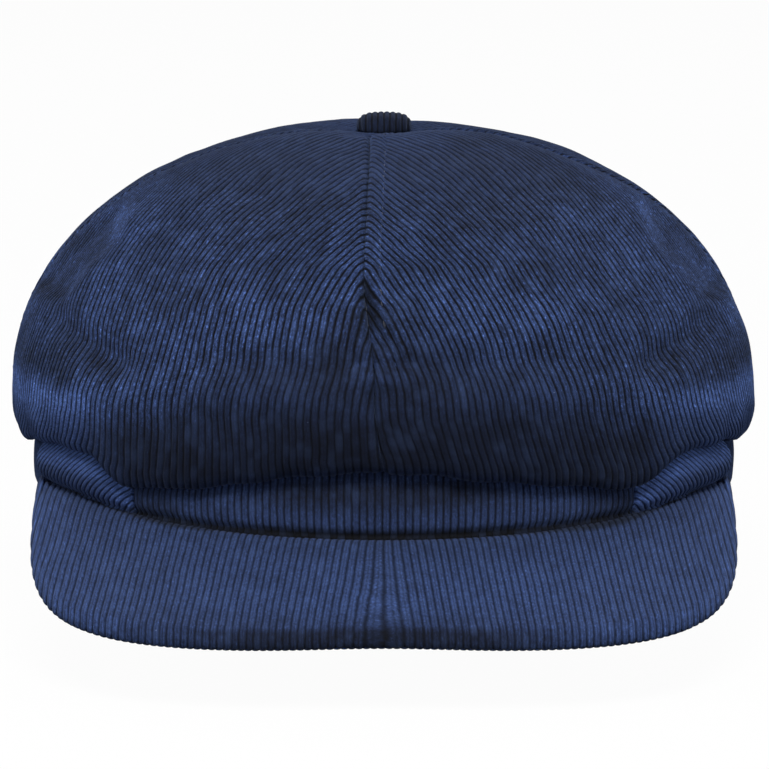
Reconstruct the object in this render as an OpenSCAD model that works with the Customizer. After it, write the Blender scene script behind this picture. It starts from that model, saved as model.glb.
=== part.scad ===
// Newsboy cap: a four-panel corduroy crown that overhangs a narrow band,
// with a padded, drooping visor and a covered button.
// Origin: centre of the head opening, in the plane of the band's lower edge.
// +Z is up, the visor points along -Y, the wearer's left is +X. Millimetres.

/* [Crown] */
// Overall width of the crown at its fullest
crown_w = 211.6; // [205:0.2:220]
// Head centre to the fullest point of the front
crown_front = 121; // [118:0.5:126]
// Head centre to the fullest point of the back
crown_back = 123; // [119:0.5:128]
// Height of the crown above the band's lower edge, before the button's dimple
crown_h = 102.4; // [96:0.2:110]
// Roundness of the crown's outline, seen from the front (2 is an ellipse)
crown_round = 2.18; // [2.05:0.01:2.4]
// Thickness of the corduroy with its backing
cloth_t = 1.3; // [1.1:0.1:1.4]
// Depth of the dimple under the button
dimple = 3; // [2.6:0.1:3.4]

/* [Band] */
// Overall width of the outer band
band_w = 198.6; // [195:0.2:200]
// Head centre to the outside of the band at the front
band_front = 106; // [104:0.5:107]
// Head centre to the outside of the band at the back
band_back = 107; // [105:0.5:109]
// Height of the outer band, of which the lower half shows
band_h = 23; // [22:0.5:24]
// Height of the sweatband inside
sweat_h = 30; // [27:0.5:32]
// Thickness of the padded sweatband
sweat_t = 3.8; // [3:0.1:4]

/* [Visor] */
// Length of the visor in front of the band
visor_len = 52; // [46:0.5:56]
// Overall width of the visor
visor_w = 196; // [192:1:200]
// Drop of the visor's front edge
visor_drop = 18.8; // [13:0.2:20]
// Thickness of the visor's rolled edge
visor_t = 5.8; // [5.6:0.1:6.4]
// Gap between the band and the visor's inner edge, which leaves room to flex
visor_gap = 2; // [2:0.1:2.6]

/* [Button] */
// Diameter of the covered button
button_d = 16; // [15:0.1:17]
// Height of the covered button
button_h = 5.8; // [5.4:0.1:6.2]

/* [Stitching] */
// Stitches along each crown seam
seam_stitches = 34; // [20:1:40]
// Stitches round the sweatband
sweat_stitches = 112; // [60:2:130]

/* [Hidden] */

navy = [0.20, 0.26, 0.42];
navy_light = [0.25, 0.32, 0.48];
navy_dark = [0.15, 0.19, 0.32];
lining_grey = [0.22, 0.23, 0.27];
steel = [0.62, 0.63, 0.65];
interfacing_white = [0.85, 0.85, 0.82];
sweatband_black = [0.12, 0.13, 0.17];
foam_cream = [0.8, 0.78, 0.7];
board_black = [0.1, 0.1, 0.11];
label_white = [0.9, 0.9, 0.88];
thread_grey = [0.5, 0.52, 0.58];

// ---- helpers: azimuth is 0 at the front and 90 on +X ----
function mix(a, b, k) = a + (b - a) * k;
function at(azimuth, r, z) = [r * sin(azimuth), -r * cos(azimuth), z];

// a value that eases between front, side and back
function by_azimuth(azimuth, front, side, back) =
    let(c = cos(azimuth))
    side + ((c > 0 ? front : back) - side) * c * c;

// radius of an oval made of a front and a back half ellipse
function oval_r(azimuth, side, front, back) =
    let(c = cos(azimuth))
    1 / sqrt(pow(sin(azimuth) / side, 2) + pow(c / (c > 0 ? front : back), 2));

function crown_r(azimuth) = oval_r(azimuth, crown_w / 2, crown_front, crown_back);
// radius of the band's outer face, moved inwards by depth
function band_r(azimuth, depth = 0) =
    oval_r(azimuth, band_w / 2 - depth, band_front - depth, band_back - depth);

// Closed shell between two grids of points of the same size
module shell(outer, inner) {
    rows = len(outer);
    cols = len(outer[0]);
    count = rows * cols;
    points = [for (grid = [outer, inner]) for (row = grid) for (point = row) point];
    function id(i, j) = i * cols + j;
    outer_faces = [for (i = [0:rows - 2]) for (j = [0:cols - 2])
        each [[id(i, j), id(i + 1, j), id(i + 1, j + 1)],
              [id(i, j), id(i + 1, j + 1), id(i, j + 1)]]];
    inner_faces = [for (f = outer_faces) [f[2] + count, f[1] + count, f[0] + count]];
    // the grid's four edges in order, which the rim faces follow
    rim = concat([for (j = [0:cols - 1]) id(0, j)],
                 [for (i = [1:rows - 1]) id(i, cols - 1)],
                 [for (j = [1:cols - 1]) id(rows - 1, cols - 1 - j)],
                 [for (i = [1:rows - 2]) id(rows - 1 - i, 0)]);
    rim_faces = [for (k = [0:len(rim) - 1])
        let(u = rim[k], v = rim[(k + 1) % len(rim)])
        each [[u, v, v + count], [u, v + count, u + count]]];
    polyhedron(points = points, faces = concat(outer_faces, inner_faces, rim_faces),
               convexity = 6);
}

// ---- crown and lining: section points are [r, z], t runs from 0 at the apex to 1 ----
t_full = 0.7;          // crown's fullest line
t_low = 0.86;          // lowest point of the overhang
t_tuck = 0.95;         // end of the turned-in edge; t = 1 is the seam with the band
dimple_r = 11;         // spread of the dimple
low_share = 0.45;      // place of the lowest point, from the band out to the fullest line
tuck_rise = 4;         // rise of the turned-in edge
seam_z = 20.5;         // where the crown meets the band, behind the overhang
lip = 0.3;             // clearance between the crown's turned-in edge and the band
t_lining_full = 0.75;  // lining's fullest line; t = 1 is its lower edge
lining_in = 5.5;       // lining inside the crown's fullest line
lining_drop = 6.2;     // lining's apex below the crown's height
lining_foot_in = 1.9;  // lining's lower edge inside the band's outer face
lining_foot_z = 24.6;
lining_t = 0.6;
panel_shift = 0.12;    // outward shift of each quarter, which opens hairline seams

// the domed part, fraction 0 at the apex and 1 at the fullest line
function dome_point(r_full, z_full, z_top, fraction) =
    let(angle = 90 * (1 - fraction), power = 2 / crown_round)
    [r_full * pow(max(cos(angle), 0), power), mix(z_full, z_top, pow(sin(angle), power))];

function crown_section(azimuth, t) =
    let(r_full = crown_r(azimuth),
        r_seam = band_r(azimuth) + lip,
        r_low = mix(r_seam, r_full, low_share),
        z_full = by_azimuth(azimuth, front = 42, side = 26, back = 29),
        z_low = by_azimuth(azimuth, front = 15, side = 12.6, back = 12))
    t <= t_full ?
        let(p = dome_point(r_full, z_full, crown_h, t / t_full))
        [p[0], p[1] - dimple * exp(-pow(p[0] / dimple_r, 2))]
    : t <= t_low ?
        let(angle = 90 * (t - t_full) / (t_low - t_full))
        [mix(r_low, r_full, cos(angle)), mix(z_full, z_low, sin(angle))]
    : t <= t_tuck ?
        let(angle = 90 * (t - t_low) / (t_tuck - t_low))
        [mix(r_low, r_seam, sin(angle)), z_low + tuck_rise * (1 - cos(angle))]
    : [r_seam, mix(z_low + tuck_rise, seam_z, (t - t_tuck) / (1 - t_tuck))];

function lining_section(azimuth, t) =
    let(r_full = crown_r(azimuth) - lining_in,
        r_foot = band_r(azimuth) - lining_foot_in,
        z_full = by_azimuth(azimuth, front = 45, side = 30, back = 32))
    t <= t_lining_full ?
        dome_point(r_full, z_full, crown_h - lining_drop, t / t_lining_full)
    : let(angle = 90 * (t - t_lining_full) / (1 - t_lining_full))
        [mix(r_foot, r_full, cos(angle)), mix(z_full, lining_foot_z, sin(angle))];

function section(kind, azimuth, t) =
    kind == "crown" ? crown_section(azimuth, t) : lining_section(azimuth, t);

// a point of the surface moved inwards by depth, square to its section
function skin(kind, azimuth, t, depth) =
    let(step = 0.004,
        p = section(kind, azimuth, t),
        along = section(kind, azimuth, min(1, t + step))
              - section(kind, azimuth, max(0, t - step)),
        length = norm(along))
    at(azimuth, p[0] + depth * along[1] / length, p[1] - depth * along[0] / length);

crown_rows = concat([for (i = [0:13]) mix(0.022, t_full, i / 13)],
                    [for (i = [1:7]) mix(t_full, t_low, i / 7)],
                    [for (i = [1:4]) mix(t_low, t_tuck, i / 4)],
                    [1]);
lining_rows = concat([for (i = [0:8]) mix(0.006, t_lining_full, i / 8)],
                     [for (i = [1:3]) mix(t_lining_full, 1, i / 3)]);

// A quarter of the crown or of its lining, from azimuth start
module quarter(kind, start, thick, rows, cols) {
    function grid(depth) =
        [for (t = rows) [for (j = [0:cols]) skin(kind, start + 90 * j / cols, t, depth)]];
    translate(at(start + 45, panel_shift, 0)) shell(grid(0), grid(thick));
}
module crown_quarter(start)
    color(navy) quarter("crown", start, cloth_t, crown_rows, 18);
module lining_quarter(start)
    color(lining_grey) quarter("lining", start, lining_t, lining_rows, 14);

module crown_panel_front_left() crown_quarter(0);
module crown_panel_front_right() crown_quarter(-90);
module crown_panel_rear_left() crown_quarter(90);
module crown_panel_rear_right() crown_quarter(180);
module lining_panel_front_left() lining_quarter(0);
module lining_panel_front_right() lining_quarter(-90);
module lining_panel_rear_left() lining_quarter(90);
module lining_panel_rear_right() lining_quarter(180);

// ---- the button: cover, shell, back plate with its shank, inner washer ----
button_z = crown_h - 1.75;
button_r = button_d / 2;
button_round = 3;          // round between the top and the side
button_cover_t = 1.2;
button_shell_t = 0.6;
button_shell_in = button_cover_t + 0.15;
shank_r = 1.4;

// A flat-topped cup of the given wall, open below
module cup(r, h, wall) {
    flat_r = r - button_round;
    side_h = h - button_round;
    rotate_extrude($fn = 64) difference() {
        union() {
            square([flat_r, h]);
            square([r, side_h]);
            translate([flat_r, side_h]) circle(r = button_round, $fn = 48);
        }
        translate([-1, -1]) square([flat_r + 1, h - wall + 1]);
        translate([-1, -1]) square([r - wall + 1, side_h + 1]);
        translate([flat_r, side_h]) circle(r = button_round - wall, $fn = 48);
        // trim at the axis and at the base
        translate([-20, -20]) square([20, 60]);
        translate([-1, -20]) square([r + 20, 20]);
    }
}
module button_cover()
    color(navy_dark) translate([0, 0, button_z]) cup(button_r, button_h, button_cover_t);
module button_shell()
    color(steel) translate([0, 0, button_z])
        cup(button_r - button_shell_in, button_h - button_shell_in, button_shell_t);
module button_back_plate() color(steel) translate([0, 0, button_z + 0.1]) {
    cylinder(h = 0.8, r = button_r - 2.2, $fn = 64);
    // the shank overlaps the plate by 0.1
    translate([0, 0, -3.6]) cylinder(h = 3.7, r = shank_r, $fn = 32);
}
module button_washer() color(steel) translate([0, 0, button_z - 3.4]) difference() {
    cylinder(h = 0.6, r = 6, $fn = 64);
    translate([0, 0, -1]) cylinder(h = 3, r = shank_r + 0.2, $fn = 32);
}

// ---- bands: strips that follow the head ----
front_seam = 42;       // azimuth of the seam between the front and side band strips
temple = 71.3;         // azimuth of the temple seam, above the visor's ends
seam_cut = 0.08;       // half of a butted seam, degrees
band_t = 1.5;
interfacing_in = 2;    // interfacing inside the band's outer face
interfacing_t = 1.2;
interfacing_edge = 1;  // interfacing short of the band's upper and lower edges
sweat_out = 3.6;       // sweatband's outer face inside the band's outer face
sweat_in = sweat_out + sweat_t;

// A strip between the seams at two azimuths, its outer face at the given depth
module strip(seam0, seam1, depth, thick, z0, z1) {
    start = seam0 + seam_cut;
    end = seam1 - seam_cut;
    steps = ceil((end - start) / 4);
    function arc(from, to, depth) =
        [for (i = [0:steps])
            let(azimuth = mix(from, to, i / steps), r = band_r(azimuth, depth))
            [r * sin(azimuth), -r * cos(azimuth)]];
    translate([0, 0, z0]) linear_extrude(z1 - z0)
        polygon(concat(arc(start, end, depth), arc(end, start, depth + thick)));
}
module outer_strip(seam0, seam1) strip(seam0, seam1, 0, band_t, 0, band_h);
module interfacing(seam0, seam1)
    color(interfacing_white) strip(seam0, seam1, interfacing_in, interfacing_t,
                                   interfacing_edge, band_h - interfacing_edge);
module sweatband(seam0, seam1)
    color(sweatband_black) strip(seam0, seam1, sweat_out, sweat_t, 0, sweat_h);

module outer_band_front() color(navy_light) outer_strip(-front_seam, front_seam);
module outer_band_side_left() color(navy_light) outer_strip(front_seam, temple);
module outer_band_side_right() color(navy_light) outer_strip(-temple, -front_seam);
module outer_band_rear() color(navy) outer_strip(temple, 360 - temple);
module band_interfacing_front() interfacing(-temple, temple);
module band_interfacing_rear() interfacing(temple, 360 - temple);
module sweatband_front() sweatband(-temple, temple);
module sweatband_rear() sweatband(temple, 360 - temple);

// ---- visor: ruled from inner to outer edge; p runs from -90 to 90, 0 at the front ----
visor_end = 70;        // azimuth of the visor's ends
visor_y0 = -30;        // fore-and-aft place of the visor's widest point
visor_end_z = 3.5;     // height of the outer edge at its widest point
visor_power = 3.4;     // squareness of the outer edge (2 is an ellipse)
droop_power = 1.8;
seam_rise = 4.5;       // the inner edge climbs this much towards the temples
seam_rise_end = 58;    // azimuth where the climb ends
visor_half_t = visor_t / 2;
top_cover_t = 1.4;
under_cover_t = 1.2;
core_half_gap = 0.15;  // half of the gap between the foam and the board

function visor_inner(p) =
    let(azimuth = visor_end * p / 90)
    at(azimuth, band_r(azimuth) + visor_gap,
       seam_rise * pow(min(abs(azimuth) / seam_rise_end, 1), 2));
function visor_outer(p) =
    let(half_w = visor_w / 2,
        reach = band_front + visor_len + visor_y0,
        r = pow(pow(abs(sin(p)) / half_w, visor_power)
              + pow(abs(cos(p)) / reach, visor_power), -1 / visor_power),
        forward = min(r * cos(p) / reach, 1))
    [r * sin(p), visor_y0 - r * cos(p),
     mix(visor_end_z, -visor_drop, 1 - pow(1 - forward, droop_power))];
function ruling_len(p) = norm(visor_outer(p) - visor_inner(p));
// a point some distance along the ruling and at a height above it
function visor_at(p, along, height) =
    let(inner = visor_inner(p))
    inner + (visor_outer(p) - inner) / ruling_len(p) * along + [0, 0, height];

// A cover, flat and then a quarter round over the outer edge; side is 1 above, -1 below
module cover(side, thick) {
    function row(p, h) =
        let(flat = ruling_len(p) - visor_half_t)
        concat([for (i = [0:5]) visor_at(p, flat * i / 5, side * h)],
               [for (b = [22.5:22.5:90])
                   visor_at(p, flat + h * sin(b), side * max(h * cos(b), 0.08))]);
    function grid(h) = [for (i = [-22:22]) row(side * 90 * sin(90 * i / 22), h)];
    shell(grid(visor_half_t), grid(visor_half_t - thick));
}
// A flat layer between the covers, from height z0 to z1 above the rulings
module core_sheet(z0, z1) {
    function row(p, z) =
        [for (i = [0:4]) visor_at(p, mix(1, max(ruling_len(p) - visor_half_t, 1.6), i / 4), z)];
    function grid(z) = [for (i = [-18:18]) row(84 * sin(90 * i / 18), z)];
    shell(grid(z1), grid(z0));
}
module visor_top_cover() color(navy_light) cover(1, top_cover_t);
module visor_foam_pad()
    color(foam_cream) core_sheet(core_half_gap, visor_half_t - top_cover_t - 0.25);
module visor_board()
    color(board_black) core_sheet(-visor_half_t + under_cover_t + 0.3, -core_half_gap);
module visor_under_cover() color(navy_dark) cover(-1, under_cover_t);

// ---- blank labels inside: one at the back, one above the sweatband on the left ----
label_t = 0.5;
size_label_w = 16;
care_label_w = 28;
module size_label() color(label_white)
    translate([-size_label_w / 2, band_back - sweat_in - 1.1, 8])
        cube([size_label_w, label_t, 14]);
module care_label() color(label_white)
    translate([band_w / 2 - sweat_in + 0.3, -care_label_w / 2, sweat_h + 0.6])
        cube([label_t, care_label_w, 20]);

// ---- stitches ----
topstitch_side = 3.2;     // row's distance from its crown seam
topstitch_lift = 0.5;     // stitch centre above the cloth
topstitch_share = 0.72;   // stitch length as a share of the pitch
sweat_stitch_gap = 0.14;  // share of the pitch left open at each end of a stitch
sweat_stitch_lift = 0.55;
sweat_stitch_z = 3.5;

module rod(start, end, r) {
    v = end - start;
    translate(start) rotate([0, acos(v[2] / norm(v)), atan2(v[1], v[0])])
        cylinder(h = norm(v), r = r, $fn = 16);
}
// a point beside the crown seam at the given azimuth, at a share of the row's length
function topstitch_at(seam, share) =
    let(t = mix(0.09, 0.82, share), r = crown_section(seam, t)[0])
    skin("crown", seam + topstitch_side / r * 180 / PI, t, -topstitch_lift);
// a point inside the sweatband, turns being a share of the way round
function sweat_stitch_at(turns) =
    let(azimuth = 360 * turns)
    at(azimuth, band_r(azimuth, sweat_in) - sweat_stitch_lift, sweat_stitch_z);

module crown_topstitching() color(navy_dark)
    for (seam = [0, 90, 180, 270]) for (i = [0:seam_stitches - 1])
        rod(topstitch_at(seam, i / seam_stitches),
            topstitch_at(seam, (i + topstitch_share) / seam_stitches), 0.22);
module sweatband_stitching() color(thread_grey)
    for (i = [0:sweat_stitches - 1])
        rod(sweat_stitch_at((i + sweat_stitch_gap) / sweat_stitches),
            sweat_stitch_at((i + 1 - sweat_stitch_gap) / sweat_stitches), 0.2);

crown_panel_front_left();
crown_panel_front_right();
crown_panel_rear_left();
crown_panel_rear_right();
lining_panel_front_left();
lining_panel_front_right();
lining_panel_rear_left();
lining_panel_rear_right();
button_cover();
button_shell();
button_back_plate();
button_washer();
outer_band_front();
outer_band_side_left();
outer_band_side_right();
outer_band_rear();
band_interfacing_front();
band_interfacing_rear();
sweatband_front();
sweatband_rear();
visor_top_cover();
visor_foam_pad();
visor_board();
visor_under_cover();
size_label();
care_label();
crown_topstitching();
sweatband_stitching();
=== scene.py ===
import math

import bmesh
import bpy
import numpy as np
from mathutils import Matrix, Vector


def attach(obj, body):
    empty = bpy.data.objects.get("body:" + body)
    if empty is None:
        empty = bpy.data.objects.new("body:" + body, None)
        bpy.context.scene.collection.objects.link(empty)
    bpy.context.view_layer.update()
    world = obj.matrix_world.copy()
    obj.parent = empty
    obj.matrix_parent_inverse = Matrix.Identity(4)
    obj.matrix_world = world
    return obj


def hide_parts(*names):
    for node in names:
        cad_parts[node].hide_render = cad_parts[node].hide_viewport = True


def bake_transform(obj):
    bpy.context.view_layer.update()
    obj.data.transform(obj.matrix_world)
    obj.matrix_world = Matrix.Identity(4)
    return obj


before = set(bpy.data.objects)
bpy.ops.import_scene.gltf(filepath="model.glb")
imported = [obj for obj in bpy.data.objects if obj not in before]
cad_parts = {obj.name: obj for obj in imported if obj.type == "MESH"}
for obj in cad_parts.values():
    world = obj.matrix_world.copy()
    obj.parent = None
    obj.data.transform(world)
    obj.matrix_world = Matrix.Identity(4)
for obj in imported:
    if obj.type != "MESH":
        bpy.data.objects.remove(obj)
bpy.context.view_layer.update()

# Lengths up to the studio are in millimetres; meshes are scaled to metres as they are made.
MM = 0.001
CROWN_SIDE, CROWN_FRONT, CROWN_BACK = 105.8, 121.0, 123.0  # from the axis to the fullest part
CROWN_TOP = 102.4
DIMPLE = 3.0                # depth of the hollow under the button
ROUNDNESS = 2 / 2.18        # power of sine and cosine in the crown's superellipse
FULLEST, LOWEST, TUCKED = 0.7, 0.86, 0.95  # stations down the crown section, see crown_section
BAND_SIDE, BAND_FRONT, BAND_BACK = 99.3, 106.0, 107.0
BAND_TOP = 23.0
WALE = 2.05                 # pitch of the corduroy
TEMPLE = 71.3               # azimuth of the seam between the front and rear of the band
CORNER = 42.0               # azimuth of the seam between the front and side strips
VISOR_HALF = 2.9            # half the visor's thickness
THREAD_RADIUS = 0.24


# ---------------------------------------------------------------- numbers
def cosd(angle):
    return np.cos(np.radians(angle))


def sind(angle):
    return np.sin(np.radians(angle))


def smooth(x):
    x = np.clip(x, 0, 1)
    return x * x * (3 - 2 * x)


def rise(x, start, span):
    """0 before start, 1 from start + span on. A negative span rises as x falls."""
    return smooth((x - start) / span)


def mix(first, second, part):
    return first + (second - first) * part


def hump(x, centre, width):
    return np.exp(-np.square((x - centre) / width))


def bow(x, power):
    """Power that keeps the sign, for superellipses."""
    return np.sign(x) * np.abs(x) ** power


LATTICE = np.random.default_rng(11).uniform(-1, 1, (32, 32, 32))


def noise(points, size, seed=0.0):
    """Smooth value noise, -1 to 1, at points (..., 3) with features about size mm across."""
    place = points / size + seed * 7.31 + 400
    cell = np.floor(place).astype(int)
    part = smooth(place - cell)
    total = 0
    for corner in np.ndindex(2, 2, 2):
        weight = np.where(corner, part, 1 - part).prod(-1)
        total = total + weight * LATTICE[tuple(np.moveaxis((cell + corner) % 32, -1, 0))]
    return total


def by_azimuth(angle, front, side, back):
    cos = cosd(angle)
    return side + (np.where(cos > 0, front, back) - side) * cos * cos


def plan(angle, side, front, back):
    """Radius of a plan made of two half ellipses."""
    cos = cosd(angle)
    return 1 / np.sqrt((sind(angle) / side) ** 2 + (cos / np.where(cos > 0, front, back)) ** 2)


def crown_plan(angle):
    return plan(angle, CROWN_SIDE, CROWN_FRONT, CROWN_BACK)


def band_plan(angle, inwards=0.0):
    return plan(angle, BAND_SIDE - inwards, BAND_FRONT - inwards, BAND_BACK - inwards)


def at(angle, radius, z):
    angle, radius, z = np.broadcast_arrays(
        np.asarray(angle, float), np.asarray(radius, float), np.asarray(z, float))
    return np.stack([radius * sind(angle), -radius * cosd(angle), z], -1)


def wrap(angle):
    return (angle + 180) % 360 - 180


# The crown's overhanging edge: it lifts in the middle and folds up near the temples.
EDGE_AZIMUTH = [0, 8, 16, 26, 34, 40, 43, 46, 49, 54,
                60, 68, 78, 90, 102, 115, 135, 160, 180]
EDGE_Z = [19.6, 18.6, 16.5, 14.0, 12.3, 11.3, 12.2, 15.8, 18.4, 19.1,
          18.9, 18.0, 16.0, 15.7, 14.6, 13.4, 12.8, 12, 12.5]


def lower_edge(angle):
    turn = np.abs(wrap(angle))
    return sum(np.interp(x, EDGE_AZIMUTH, EDGE_Z)
               for x in (turn, np.abs(turn - 1.2), turn + 1.2)) / 3


def visor_seam_z(angle):
    """Height at which the visor meets the band."""
    return 4.5 * np.minimum(np.abs(angle) / 58, 1) ** 2


def crown_section(angle, down):
    """Crown section (radius, z). down is 0 at the apex, then FULLEST, LOWEST and TUCKED,
    and 1 at the seam with the band."""
    full, seam = crown_plan(angle), band_plan(angle) + 0.3
    low = seam + by_azimuth(angle, 0.22, 0.45, 0.4) * (full - seam)
    full_z, low_z = by_azimuth(angle, 42, 26, 29), lower_edge(angle)
    turn = 90 * (1 - np.clip(down / FULLEST, 0, 1))
    radius = full * np.maximum(cosd(turn), 0) ** ROUNDNESS
    z = full_z + (CROWN_TOP - full_z) * np.maximum(sind(turn), 0) ** ROUNDNESS
    z = z - DIMPLE * hump(radius, 0, 11) + 0.6 * hump(radius, 30, 22)
    turn = 90 * np.clip((down - FULLEST) / (LOWEST - FULLEST), 0, 1)
    radius = np.where(down > FULLEST, low + (full - low) * cosd(turn), radius)
    z = np.where(down > FULLEST, full_z - (full_z - low_z) * sind(turn) ** 1.12, z)
    turn = 90 * np.clip((down - LOWEST) / (TUCKED - LOWEST), 0, 1)
    radius = np.where(down > LOWEST, low - (low - seam) * sind(turn), radius)
    z = np.where(down > LOWEST, low_z + 3.6 * (1 - cosd(turn)), z)
    top = np.maximum(20.5, low_z + 4.4)
    climb = mix(low_z + 3.6, top, (down - TUCKED) / (1 - TUCKED))
    return np.where(down > TUCKED, seam, radius), np.where(down > TUCKED, climb, z)


def lining_section(angle, down):
    """Lining section (radius, z): fullest at 0.75."""
    full, seam = crown_plan(angle) - 5.5, band_plan(angle) - 1.9
    full_z = by_azimuth(angle, 45, 30, 32)
    turn = 90 * (1 - np.clip(down / 0.75, 0, 1))
    radius = full * np.maximum(cosd(turn), 0) ** ROUNDNESS
    z = full_z + (CROWN_TOP - 6.2 - full_z) * np.maximum(sind(turn), 0) ** ROUNDNESS
    turn = 90 * np.clip((down - 0.75) / 0.25, 0, 1)
    return (np.where(down > 0.75, seam + (full - seam) * cosd(turn), radius),
            np.where(down > 0.75, full_z - (full_z - 24.6) * sind(turn), z))


def rows_by_length(section, angle, start, end, step):
    """Stations about step mm apart along the section at one azimuth, and its length."""
    down = np.linspace(start, end, 2400)
    radius, z = section(np.full_like(down, float(angle)), down)
    run = np.concatenate([[0], np.cumsum(np.hypot(np.diff(radius), np.diff(z)))])
    count = int(round(run[-1] / step))
    return np.interp(np.linspace(0, run[-1], count + 1), run, down), run[-1]


# ---------------------------------------------------------------- mesh tools
def normals(grid):
    """Normals of a grid of points: rows run down, columns to the right, seen from outside."""
    normal = np.cross(np.gradient(grid, axis=0), np.gradient(grid, axis=1))
    return normal / np.maximum(np.linalg.norm(normal, axis=-1, keepdims=True), 1e-9)


def quads(ids):
    """Faces of a grid of vertex ids, from the upper left corner down and round."""
    corners = ids[:-1, :-1], ids[1:, :-1], ids[1:, 1:], ids[:-1, 1:]
    return np.stack([corner.ravel() for corner in corners], 1)


INWARD = [0, 3, 2, 1]  # corner order that turns a quad over and keeps its first corner


def closed(ids):
    """Join the last column of a grid to the first."""
    return np.hstack([ids, ids[:, :1]])


def coarse(count, step):
    """Every step-th index, and always the last."""
    return np.unique(np.concatenate([np.arange(0, count, step), [count - 1]]))


def arc_length(points):
    steps = np.linalg.norm(np.diff(points, axis=0), axis=1)
    return np.concatenate([[0], np.cumsum(steps)])


def zip_strip(first, second, points, flip):
    """Triangles that join two polylines of any lengths."""
    first = first[np.concatenate([[True], np.diff(first) != 0])]
    runs = []
    for ids in (first, second):
        run = arc_length(points[ids])
        runs.append(run / max(run[-1], 1e-9))
    i = j = 0
    faces = []
    while i < len(first) - 1 or j < len(second) - 1:
        if j == len(second) - 1 or (i < len(first) - 1 and runs[0][i + 1] <= runs[1][j + 1]):
            face = (first[i], first[i + 1], second[j])
            i += 1
        else:
            face = (first[i], second[j + 1], second[j])
            j += 1
        faces.append(face[::-1] if flip else face)
    return faces


def add_object(name, data):
    obj = bpy.data.objects.new(name, data)
    bpy.context.scene.collection.objects.link(obj)
    return obj


def make(name, verts, faces, wale, slot, replaces=None, body="cap", blend=False, recalc=False):
    """A mesh piece from points in mm, riding on a CAD body, or left free with its transform
    baked.
    wale is each vertex's place on the cloth: across the wales, along them, and its painted light
    and shade."""
    mesh = bpy.data.meshes.new(name)
    mesh.from_pydata((np.asarray(verts) * MM).tolist(), [],
                     [tuple(int(i) for i in face) for face in faces])
    attribute = mesh.attributes.new("wale", "FLOAT_VECTOR", "POINT")
    attribute.data.foreach_set("vector", np.asarray(wale, np.float32).ravel())
    if recalc:
        edit = bmesh.new()
        edit.from_mesh(mesh)
        bmesh.ops.recalc_face_normals(edit, faces=edit.faces)
        edit.to_mesh(mesh)
        edit.free()
    mesh.validate()
    mesh.shade_smooth()
    obj = add_object(name, mesh)
    mesh.materials.append(MATERIALS[slot])
    if blend:
        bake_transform(obj)
    else:
        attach(obj, body)
    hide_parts(replaces or name)


# One wale's cross-section: place across it, and height.
PROFILE_X = np.array([0.0, 0.14, 0.37, 0.63, 0.86, 1.0])
PROFILE_H = np.array([0.0, 0.60, 1.0, 1.0, 0.60, 0.0])


def rib(across):
    """Height of a wale, 0 in the groove and 1 on its crest."""
    return np.interp((across / WALE) % 1.0, PROFILE_X, PROFILE_H)


def wale_columns(low, high):
    index = np.arange(math.floor(low / WALE) - 1, math.ceil(high / WALE) + 1)
    across = ((index[:, None] + PROFILE_X[None, :-1]) * WALE).ravel()
    return across[(across > low) & (across < high)]


def increasing(across):
    """Make every row strictly increasing."""
    steps = np.arange(across.shape[1])[None, :] * 1e-7
    return np.maximum.accumulate(across, axis=1) + steps


def ribbed(grid, across, along, height, inner, painted_shading, extra=()):
    """A closed cloth shell whose outside follows a smooth grid (rows, columns, 3), cut into
    columns at constant across, so that every wale is real geometry. across grows along each
    row, height is the wales' height, the sixth argument is the painted light and shade at each
    point, and inner is a coarser grid. extra adds columns."""
    end_gap = 0.05  # least space between a cut and a row's end
    rows, count = across.shape
    fields = np.concatenate([grid, normals(grid), np.stack([height, along, painted_shading], -1)], -1)
    columns = wale_columns(across.min(), across.max())
    columns = np.unique(np.concatenate([columns, extra]))
    columns = columns[np.concatenate([[True], np.diff(columns) > 0.04])]
    ids = np.zeros((rows, len(columns) + 2), int)
    points, cloth = [], []
    total = 0
    for row in range(rows):
        first, last = across[row, 0], across[row, -1]
        inside = (columns > first + end_gap) & (columns < last - end_gap)
        cuts = np.concatenate([[first], columns[inside], [last]])
        spot = np.interp(cuts, across[row], np.arange(count))
        left = np.minimum(spot.astype(int), count - 2)
        part = (spot - left)[:, None]
        local = fields[row, left] * (1 - part) + fields[row, left + 1] * part
        normal = local[:, 3:6] / np.linalg.norm(local[:, 3:6], axis=1, keepdims=True)
        points.append(local[:, :3] + normal * (local[:, 6] * rib(cuts))[:, None])
        cloth.append(np.stack([cuts, local[:, 7], local[:, 8]], -1))
        end = total + len(cuts) - 1
        outside = np.where(columns <= first + end_gap, total, end)
        ids[row, 0], ids[row, -1] = total, end
        ids[row, 1:-1] = np.where(inside, total + np.cumsum(inside), outside)
        total += len(cuts)
    corners = quads(ids)
    top_shut, low_shut = corners[:, 0] == corners[:, 3], corners[:, 1] == corners[:, 2]
    faces = corners[~(top_shut | low_shut)].tolist()
    faces += corners[top_shut & ~low_shut][:, :3].tolist()
    faces += corners[low_shut & ~top_shut][:, [0, 1, 3]].tolist()

    in_rows, in_columns = inner.shape[:2]
    in_ids = total + np.arange(in_rows * in_columns).reshape(in_rows, in_columns)
    faces += quads(in_ids)[:, INWARD].tolist()
    points = np.concatenate(points + [inner.reshape(-1, 3)])
    faces += zip_strip(ids[0], in_ids[0], points, False)
    faces += zip_strip(ids[-1], in_ids[-1], points, True)
    faces += zip_strip(ids[:, 0], in_ids[:, 0], points, True)
    faces += zip_strip(ids[:, -1], in_ids[:, -1], points, False)
    # the inside takes its cloth coordinates from the nearest part of the outside grid
    near = np.ix_(np.round(np.linspace(0, rows - 1, in_rows)).astype(int),
                  np.round(np.linspace(0, count - 1, in_columns)).astype(int))
    in_cloth = np.stack([across[near], along[near], np.ones((in_rows, in_columns))], -1)
    return points, faces, np.concatenate(cloth + [in_cloth.reshape(-1, 3)])


def unshaded(cloth):
    return np.concatenate([cloth, np.ones((len(cloth), 1))], 1)


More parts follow.
